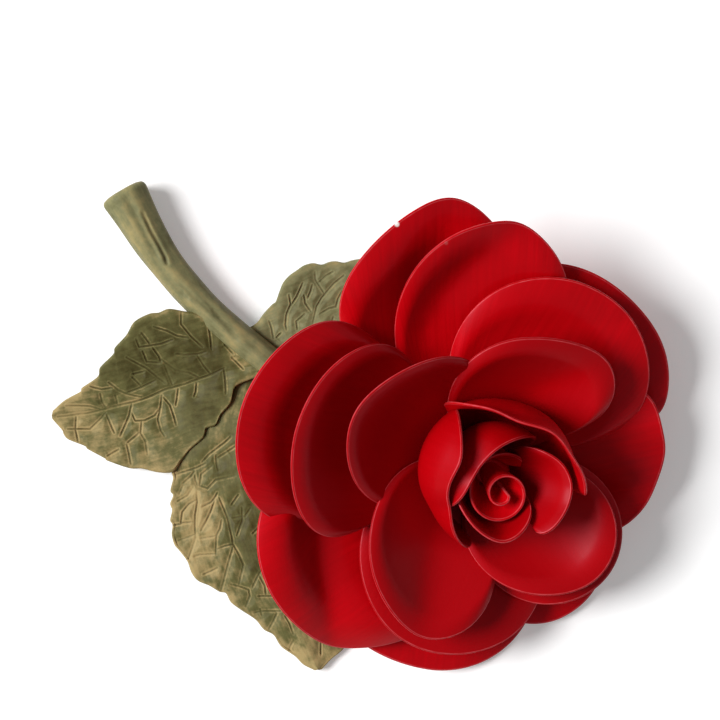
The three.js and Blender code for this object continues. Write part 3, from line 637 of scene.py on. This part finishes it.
def carve(points, strokes, width):
    """How deep the clay is cut over the plan, from 0 to 1, and how far it is raised in a burr beside the
    cuts. Each stroke is a run of straight lines: its cut is a bell curve of the distance to it, shallower
    towards the stroke's ends, and the burr is a bell curve further out."""
    depth = np.zeros(points.shape[:-1])
    burr = np.zeros(points.shape[:-1])
    for stroke in strokes:
        curve = np.asarray(stroke, float)
        least = curve.min(0) - CUT_REACH * width
        most = curve.max(0) + CUT_REACH * width
        near = np.all((points > least) & (points < most), axis=-1)
        offsets = points[near][:, None] - curve[:-1]
        steps = np.diff(curve, axis=0)
        share = np.clip(np.sum(offsets * steps, axis=-1) / np.sum(steps ** 2, axis=-1), 0, 1)
        gaps = np.linalg.norm(offsets - share[..., None] * steps, axis=-1) / width
        closest = np.argmin(gaps, axis=1)
        gap = np.min(gaps, axis=1)
        place = (closest + share[np.arange(len(share)), closest]) / len(steps)
        strength = np.minimum(1, CUT_END_DEPTH + CUT_END_GROWTH * np.minimum(place, 1 - place))
        depth[near] = np.maximum(depth[near], strength * np.exp(-gap ** 2))
        burr[near] = np.maximum(burr[near], strength * np.exp(-(gap - BURR_REACH) ** 2))
    return depth, burr * (1 - depth)


def paint_tone(points, patches):
    """Tone of the paint over the plan: the sum of soft patches, each its strength times a bell curve."""
    return sum(tone * np.exp(-((points[..., 0] - x) ** 2 + (points[..., 1] - y) ** 2) / reach ** 2)
               for x, y, reach, tone in patches)


def plan_ripple(plan, pitch, seed):
    """Smooth unevenness over the plan, the finer the smaller its pitch."""
    return ripple(plan[..., 0] / pitch, plan[..., 1] / pitch, seed)


def leaf_piece(name, leaf, seed):
    """Slab between two margins about a midrib. Across, the plan runs straight from the midrib to the margin
    at the same share of their lengths, and the height rises or falls with the distance from the midrib. The
    upper face swells between the veins and is cut by them, with a burr beside each cut. Each ring runs over
    the leaf, round the edge and back under it."""
    side = np.linspace(-1, 1, LEAF_COLUMNS)[None, :, None]
    below = np.linspace(1, -1, LEAF_UNDER_COLUMNS)[None, :, None]
    midrib, _ = smooth_path(leaf.midrib, LEAF_ROWS)
    left, right = (smooth_path(margin, LEAF_ROWS)[0] for margin in (leaf.left, leaf.right))
    radius = LEAF_EDGE_THICKNESS / 2

    def face(side):
        """Points of the leaf's middle, and their distance from the midrib."""
        reach = np.where(side > 0, (left - midrib[:, :2])[:, None], (right - midrib[:, :2])[:, None])
        far = np.maximum(np.linalg.norm(reach, axis=-1, keepdims=True) - radius, 0)
        off = far * np.abs(side)
        slope = np.where(side > 0, leaf.slopes[0], leaf.slopes[1])
        place = midrib[:, None, :2] + unit(reach) * off
        height = midrib[:, None, 2:] + slope * off
        return np.concatenate([place, height], axis=-1), off

    middle, off = face(side)
    plan = middle[..., :2]
    wander = np.stack([plan_ripple(plan, WANDER_PITCH, seed + k) for k in range(2)], axis=-1)
    drawn = plan + WANDER_REACH * wander
    depth, burr = carve(drawn, leaf.veins, VEIN_WIDTH)
    fade = np.clip(FADE_MEAN + FADE_SWING * plan_ripple(plan, FADE_PITCH, seed + 2), FADE_LEAST, 1)
    swell = SWELL_HEIGHT * plan_ripple(plan, SWELL_PITCH, seed + 3)
    hollow, _ = carve(drawn, leaf.veins, QUILT_WIDTH)
    relief = fade * (BURR_HEIGHT * burr - VEIN_DEPTH * depth) - QUILT_DEPTH * hollow + swell

    def half(side):
        """Half the leaf's thickness, which falls with the square of the way to the edge."""
        return (LEAF_EDGE_THICKNESS + (LEAF_THICKNESS - LEAF_EDGE_THICKNESS) * (1 - side ** 2)) / 2

    lift = np.array([0, 0, 1])
    over = middle + lift * (half(side) + relief[..., None])
    under = face(below)[0] - lift * half(below)
    angles = RIM_ANGLES[None, :, None]
    ends = []
    for place, margin in ((middle[:, -1:], left), (middle[:, :1], right)):
        outward = unit(margin - midrib[:, :2])[:, None]
        outward = np.concatenate([outward, 0 * outward[..., :1]], axis=-1)
        ends.append(place + radius * (np.cos(angles) * outward + np.sin(angles) * lift))
    rings = np.concatenate([over, ends[0], under, ends[1][:, ::-1]], axis=1)
    rings[..., 2] = np.maximum(rings[..., 2], 0)

    def round_ring(upper):
        """A measure of the upper face carried round the edges, and zero below."""
        count = len(RIM_ANGLES)
        first = np.repeat(upper[:, -1:], count, 1)
        last = np.repeat(upper[:, :1], count, 1)
        return np.concatenate([upper, first, np.zeros((LEAF_ROWS, LEAF_UNDER_COLUMNS)), last], axis=1)

    along = np.cumsum(np.linalg.norm(np.gradient(midrib, axis=0), axis=1))[:, None]
    width = np.where(side > 0, off[:, -1:], off[:, :1])
    measures = {
        "along": round_ring(along + 0 * depth),
        "across": round_ring(off[..., 0] * np.sign(side[..., 0])),
        "edge": round_ring(width[..., 0] - off[..., 0]),
        "groove": round_ring(fade * depth),
        "ridge": round_ring(fade * burr),
        "tone": round_ring(np.clip(paint_tone(plan, leaf.patches), -1, 1)),
    }
    return ring_mesh(name, rings, measures)


def colour(code):
    """Linear colour of an sRGB hex value."""
    parts = [int(code[k:k + 2], 16) / 255 for k in (1, 3, 5)]
    return tuple(c / 12.92 if c <= 0.04045 else ((c + 0.055) / 1.055) ** 2.4 for c in parts) + (1.0,)


def add_node(tree, kind, values=None, links=None, **settings):
    """A node of that kind with its settings, socket values and links from other nodes' outputs."""
    node = tree.nodes.new(kind)
    for key, value in settings.items():
        setattr(node, key, value)
    for socket, value in (values or {}).items():
        node.inputs[socket].default_value = value
    for socket, source in (links or {}).items():
        tree.links.new(source, node.inputs[socket])
    return node


# Sockets of a Mix node that mixes colours
MIX_FACTOR = 0
MIX_A = 6
MIX_B = 7
MIX_RESULT = 2

# Colours of the red overglaze and of the porcelain under it
RED_THIN = "#AD0006"
RED_FULL = "#C0000A"
# Painted shade: a darker red on the petals towards the bud
RED_PAINTED_BUD_SHADE = "#A20005"
# Painted shade: a near-black red deep at the petals' roots
RED_PAINTED_ROOT_SHADE = "#400003"
# A pale line on the rims, partly wear and partly a painted highlight
RED_WEAR_AND_HIGHLIGHT = "#DC666C"
RED_SHEEN = "#FFB0D8"
BARE_PORCELAIN = "#EFE6E2"

# Colours of the greens: dark shade, flat green and dry-brushed tan, and the brown left in the cuts
LEAF_COLOURS = ("#443F20", "#605D37", "#A38F61")
STEM_COLOURS = ("#5A5838", "#7A7854", "#998C5F")
CUT_BROWN = "#382C14"

# Patterns of the paint in millimetres. Bristle marks and clay grain are finer than the render shows, so
# they are drawn coarser. A squeeze below one stretches the streaks along the piece.
RED_MOTTLE = 14
RED_STREAK = 1.6
RED_STREAK_SQUEEZE = 0.06
RED_STREAK_DEPTH = 0.4
# Width and spots of the rim line, which is partly wear and partly a painted highlight
RED_WEAR_AND_HIGHLIGHT_WIDTH = 0.25
RED_WEAR_AND_HIGHLIGHT_SPOT = 2.5
RED_GRAIN = 0.9
RED_GRAIN_DEPTH = 0.2
GREEN_MOTTLE = 4
GREEN_STREAK = 1.0
GREEN_STREAK_SQUEEZE = 0.16
# Width of the tan edge, which is partly dry-brushing and partly a painted highlight
GREEN_WEAR_AND_HIGHLIGHT_EDGE = 1.5
GREEN_GRAIN = 1.2
GREEN_GRAIN_DEPTH = 0.3

# How much tan catches on the burrs, and the index of refraction of fired glaze
BURR_TAN = 1.05
GLAZE_IOR = 1.5


def new_material(name):
    """An empty material and its node tree."""
    material = bpy.data.materials.new(name)
    material.use_nodes = True
    material.node_tree.nodes.clear()
    return material, material.node_tree


def red_glaze():
    """Red overglaze brushed on fired porcelain: a deep satin red with faint brush streaks along the petals,
    darkened by painted shade on the petals towards the bud and deep at their roots, with a pale line on the
    rims that is partly wear and partly a painted highlight. Two small chips bare the white body."""
    material, tree = new_material("red_overglaze_on_porcelain")
    along, across, edge, bud_shade, root_shade = (
        add_node(tree, "ShaderNodeAttribute", attribute_name=key).outputs["Fac"]
        for key in ("along", "across", "edge", "bud_shade", "root_shade"))
    place = add_node(tree, "ShaderNodeTexCoord").outputs["Object"]
    mottle = add_node(tree, "ShaderNodeTexNoise", {"Scale": 1 / (RED_MOTTLE * MM), "Detail": 3},
                      {"Vector": place}).outputs["Fac"]
    slow = add_node(tree, "ShaderNodeMath", {1: RED_STREAK_SQUEEZE}, {0: along}, operation="MULTIPLY")
    brush = add_node(tree, "ShaderNodeCombineXYZ", None, {"X": across, "Y": slow.outputs[0]})
    streak = add_node(tree, "ShaderNodeTexNoise", {"Scale": 1 / RED_STREAK, "Detail": 4},
                      {"Vector": brush.outputs[0]}).outputs["Fac"]
    uneven = add_node(tree, "ShaderNodeMath", None, {0: mottle, 1: streak}, operation="MULTIPLY")
    shade = add_node(tree, "ShaderNodeMapRange", {"From Min": 0.12, "From Max": 0.42},
                     {"Value": uneven.outputs[0]})
    paint = add_node(tree, "ShaderNodeMix", {MIX_A: colour(RED_THIN), MIX_B: colour(RED_FULL)},
                     {MIX_FACTOR: shade.outputs[0]}, data_type="RGBA").outputs[MIX_RESULT]
    # Pale line on the rims, partly wear and partly a painted highlight, broken up in spots
    spots = add_node(tree, "ShaderNodeTexNoise", {"Scale": 1 / (RED_WEAR_AND_HIGHLIGHT_SPOT * MM), "Detail": 2},
                     {"Vector": place}).outputs["Fac"]
    patchy = add_node(tree, "ShaderNodeMapRange", {"From Min": 0.3, "From Max": 0.7, "To Min": 0.35},
                      {"Value": spots})
    wear_and_highlight_edge = add_node(tree, "ShaderNodeMapRange",
                    {"From Min": RED_WEAR_AND_HIGHLIGHT_WIDTH, "From Max": 0.0, "To Max": 0.85}, {"Value": edge})
    wear_and_highlight = add_node(tree, "ShaderNodeMath", None, {0: wear_and_highlight_edge.outputs[0], 1: patchy.outputs[0]},
                    operation="MULTIPLY").outputs[0]
    # Laid over the red: painted shade towards the bud and at the roots, the rim line of wear and painted
    # highlight, then the chips
    layers = [(RED_PAINTED_BUD_SHADE, bud_shade), (RED_PAINTED_ROOT_SHADE, root_shade), (RED_WEAR_AND_HIGHLIGHT, wear_and_highlight)]
    flat = add_node(tree, "ShaderNodeVectorMath", {1: (1, 1, 0)}, {0: place}, operation="MULTIPLY")
    for x, y, radius, bare in CHIPS:
        far = add_node(tree, "ShaderNodeVectorMath", {1: (x * MM, y * MM, 0)}, {0: flat.outputs[0]},
                       operation="DISTANCE").outputs["Value"]
        chip = add_node(tree, "ShaderNodeMapRange",
                        {"From Min": radius * MM, "From Max": radius * MM / 2, "To Max": bare},
                        {"Value": far})
        layers.append((BARE_PORCELAIN, chip.outputs[0]))
    for code, amount in layers:
        paint = add_node(tree, "ShaderNodeMix", {MIX_B: colour(code)}, {MIX_FACTOR: amount, MIX_A: paint},
                         data_type="RGBA").outputs[MIX_RESULT]
    satin = add_node(tree, "ShaderNodeMapRange", {"To Min": 0.42, "To Max": 0.56}, {"Value": streak})
    grain = add_node(tree, "ShaderNodeTexNoise", {"Scale": 1 / (RED_GRAIN * MM), "Detail": 2},
                     {"Vector": place}).outputs["Fac"]
    marks = add_node(tree, "ShaderNodeBump", {"Strength": 0.12, "Distance": RED_STREAK_DEPTH * MM},
                     {"Height": streak})
    bump = add_node(tree, "ShaderNodeBump", {"Strength": 0.12, "Distance": RED_GRAIN_DEPTH * MM},
                    {"Height": grain, "Normal": marks.outputs[0]})
    gloss = {"IOR": GLAZE_IOR, "Specular IOR Level": 0.12, "Specular Tint": colour(RED_SHEEN),
             "Coat Weight": 0.06, "Coat Roughness": 0.25}
    shader = add_node(tree, "ShaderNodeBsdfPrincipled", gloss,
                      {"Base Color": paint, "Roughness": satin.outputs[0], "Normal": bump.outputs[0]})
    add_node(tree, "ShaderNodeOutputMaterial", None, {"Surface": shader.outputs[0]})
    return material


def olive_glaze(name, shade, flat, tan):
    """Olive glaze over incised clay, dry-brushed with tan. The tone of the paint runs from the dark shade
    over the flat green to tan, unevenly by brush streaks and mottling, and its dark patches are in places
    painted shade; tan catches on burrs, a tan line along the edges is partly dry-brushing and partly a
    painted highlight, and brown stays in the cuts."""
    material, tree = new_material(name)
    along, across, edge, groove, ridge, tone = (
        add_node(tree, "ShaderNodeAttribute", attribute_name=key).outputs["Fac"]
        for key in ("along", "across", "edge", "groove", "ridge", "tone"))
    place = add_node(tree, "ShaderNodeTexCoord").outputs["Object"]
    mottle = add_node(tree, "ShaderNodeTexNoise",
                      {"Scale": 1 / (GREEN_MOTTLE * MM), "Detail": 6, "Roughness": 0.65}, {"Vector": place})
    slow = add_node(tree, "ShaderNodeMath", {1: GREEN_STREAK_SQUEEZE}, {0: along}, operation="MULTIPLY")
    brush = add_node(tree, "ShaderNodeCombineXYZ", None, {"X": across, "Y": slow.outputs[0]})
    streak = add_node(tree, "ShaderNodeTexNoise", {"Scale": 1 / GREEN_STREAK, "Detail": 5},
                      {"Vector": brush.outputs[0]}).outputs["Fac"]
    strokes = add_node(tree, "ShaderNodeMapRange",
                       {"From Min": 0.35, "From Max": 0.65, "To Min": -0.2, "To Max": 0.2},
                       {"Value": streak})
    clouds = add_node(tree, "ShaderNodeMapRange",
                      {"From Min": 0.3, "From Max": 0.7, "To Min": -0.55, "To Max": 0.55},
                      {"Value": mottle.outputs["Fac"]})
    # Tan along the edges: partly dry-brushing, partly a painted highlight on the rims
    wear_and_highlight_edge = add_node(tree, "ShaderNodeMapRange",
                    {"From Min": GREEN_WEAR_AND_HIGHLIGHT_EDGE, "From Max": 0.0, "To Max": 0.5}, {"Value": edge})
    level = tone
    for source in (strokes, clouds, wear_and_highlight_edge):
        level = add_node(tree, "ShaderNodeMath", None, {0: level, 1: source.outputs[0]},
                         operation="ADD").outputs[0]
    level = add_node(tree, "ShaderNodeMath", {1: BURR_TAN}, {0: ridge, 2: level},
                     operation="MULTIPLY_ADD").outputs[0]
    light = add_node(tree, "ShaderNodeMath", {1: 0.0}, {0: level}, operation="ADD", use_clamp=True)
    dark = add_node(tree, "ShaderNodeMath", {1: -1.0}, {0: level}, operation="MULTIPLY", use_clamp=True)
    stain = add_node(tree, "ShaderNodeMapRange", {"From Min": 0.1, "From Max": 0.9, "To Max": 0.65},
                     {"Value": groove})
    paint = add_node(tree, "ShaderNodeMix", {MIX_A: colour(flat), MIX_B: colour(tan)},
                     {MIX_FACTOR: light.outputs[0]}, data_type="RGBA").outputs[MIX_RESULT]
    for code, amount in ((shade, dark), (CUT_BROWN, stain)):
        paint = add_node(tree, "ShaderNodeMix", {MIX_B: colour(code)},
                         {MIX_FACTOR: amount.outputs[0], MIX_A: paint},
                         data_type="RGBA").outputs[MIX_RESULT]
    satin = add_node(tree, "ShaderNodeMapRange", {"To Min": 0.4, "To Max": 0.6}, {"Value": streak})
    grain = add_node(tree, "ShaderNodeTexNoise", {"Scale": 1 / (GREEN_GRAIN * MM), "Detail": 3},
                     {"Vector": place}).outputs["Fac"]
    bump = add_node(tree, "ShaderNodeBump", {"Strength": 0.15, "Distance": GREEN_GRAIN_DEPTH * MM},
                    {"Height": grain})
    shader = add_node(tree, "ShaderNodeBsdfPrincipled", {"IOR": GLAZE_IOR, "Specular IOR Level": 0.1},
                      {"Base Color": paint, "Roughness": satin.outputs[0], "Normal": bump.outputs[0]})
    add_node(tree, "ShaderNodeOutputMaterial", None, {"Surface": shader.outputs[0]})
    return material


def dress(node, make, material, slot, *details):
    """Make the finished piece that stands for a node of the frame, in its material."""
    mesh = make("glazed_" + node, *details)
    mesh.materials.append(material)
    piece = bpy.data.objects.new(mesh.name, mesh)
    bpy.context.scene.collection.objects.link(piece)
    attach(piece, "root")
    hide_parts(node)


red = red_glaze()
leaf_green = olive_glaze("olive_glaze_on_leaves", *LEAF_COLOURS)
stem_green = olive_glaze("sage_glaze_on_stem_and_upper_leaf", *STEM_COLOURS)
for number, (node, petal) in enumerate(PETALS.items()):
    dress(node, petal_piece, red, "red_glaze", petal, number)
dress("bud_spiral", spiral_piece, red, "red_glaze")
dress("flower_core", core_piece, red, "red_glaze")
dress("receptacle", receptacle_piece, stem_green, "green_glaze")
dress("stem", stem_piece, stem_green, "green_glaze")
for number, (node, leaf) in enumerate(LEAVES.items()):
    green = stem_green if node == "leaf_upper" else leaf_green
    dress(node, leaf_piece, green, "green_glaze", leaf, LEAF_SEED_STEP * (number + 1))

# Stage: a white floor that keeps the shadow and reads as white to the camera
FLOOR_SIZE = 8.0
FLOOR_WHITE = 0.9
FLOOR_ROUGHNESS = 0.9
FLOOR_LIFT = 0.22
WHITE = (1, 1, 1, 1)


def seen_directly(tree):
    """One for rays from the camera, mirror rays and rays through glass, zero for the light's own bounces."""
    path = add_node(tree, "ShaderNodeLightPath").outputs
    seen = path["Is Camera Ray"]
    for kind in ("Is Glossy Ray", "Is Transmission Ray"):
        seen = add_node(tree, "ShaderNodeMath", None, {0: seen, 1: path[kind]},
                        operation="MAXIMUM").outputs[0]
    return seen


def floor_paint():
    """Matt white paint that is lifted to white where it is seen directly."""
    material, tree = new_material("white_floor")
    lift = add_node(tree, "ShaderNodeMath", {1: FLOOR_LIFT}, {0: seen_directly(tree)},
                    operation="MULTIPLY")
    matt = {"Base Color": (FLOOR_WHITE, FLOOR_WHITE, FLOOR_WHITE, 1), "Roughness": FLOOR_ROUGHNESS,
            "Specular IOR Level": 0, "Emission Color": WHITE}
    shader = add_node(tree, "ShaderNodeBsdfPrincipled", matt, {"Emission Strength": lift.outputs[0]})
    add_node(tree, "ShaderNodeOutputMaterial", None, {"Surface": shader.outputs[0]})
    return material


reach = FLOOR_SIZE / 2
corners = [(-reach, -reach, 0), (reach, -reach, 0), (reach, reach, 0), (-reach, reach, 0)]
floor_mesh = bpy.data.meshes.new("floor")
floor_mesh.from_pydata(corners, [], [(0, 1, 2, 3)])
floor_mesh.materials.append(floor_paint())
floor = bpy.data.objects.new("floor", floor_mesh)
bpy.context.scene.collection.objects.link(floor)

# Light: a broad soft key from the left over an even fill
FILL_LEVEL = 0.21
KEY_LEVEL = 0.92
KEY_ELEVATION = 46
KEY_AZIMUTH = 174
KEY_SPREAD = 30

world = bpy.data.worlds.new("studio")
bpy.context.scene.world = world
world.use_nodes = True
tree = world.node_tree
tree.nodes.clear()
level = add_node(tree, "ShaderNodeMapRange", {"To Min": FILL_LEVEL, "To Max": 1.0},
                 {"Value": seen_directly(tree)})
fill = add_node(tree, "ShaderNodeBackground", {"Color": WHITE}, {"Strength": level.outputs[0]})
add_node(tree, "ShaderNodeOutputWorld", None, {"Surface": fill.outputs[0]})

key_data = bpy.data.lights.new("key", "SUN")
key_data.energy = KEY_LEVEL * math.pi / math.sin(math.radians(KEY_ELEVATION))
key_data.angle = math.radians(KEY_SPREAD)
key = bpy.data.objects.new("key", key_data)
key.rotation_euler = (0, math.radians(90 - KEY_ELEVATION), math.radians(KEY_AZIMUTH))
bpy.context.scene.collection.objects.link(key)

# Camera: straight above the table, far enough back to see the rose almost flat. A pixel of the frame spans
# PIXEL_SIZE at the height PIXEL_HEIGHT, in millimetres; the clip distance is in metres.
CAMERA_PLACE = (-30.7, 26.2, 1200)
FRAME_PIXELS = 720
PIXEL_SIZE = 0.30
PIXEL_HEIGHT = 20
CAMERA_CLIP = 20

camera_data = bpy.data.cameras.new("camera")
focal_pixels = (CAMERA_PLACE[2] - PIXEL_HEIGHT) / PIXEL_SIZE
camera_data.lens = camera_data.sensor_width * focal_pixels / FRAME_PIXELS
camera_data.clip_end = CAMERA_CLIP
camera = bpy.data.objects.new("camera", camera_data)
camera.location = [value * MM for value in CAMERA_PLACE]
bpy.context.scene.collection.objects.link(camera)
bpy.context.scene.camera = camera
bpy.context.scene.view_settings.view_transform = "Standard"
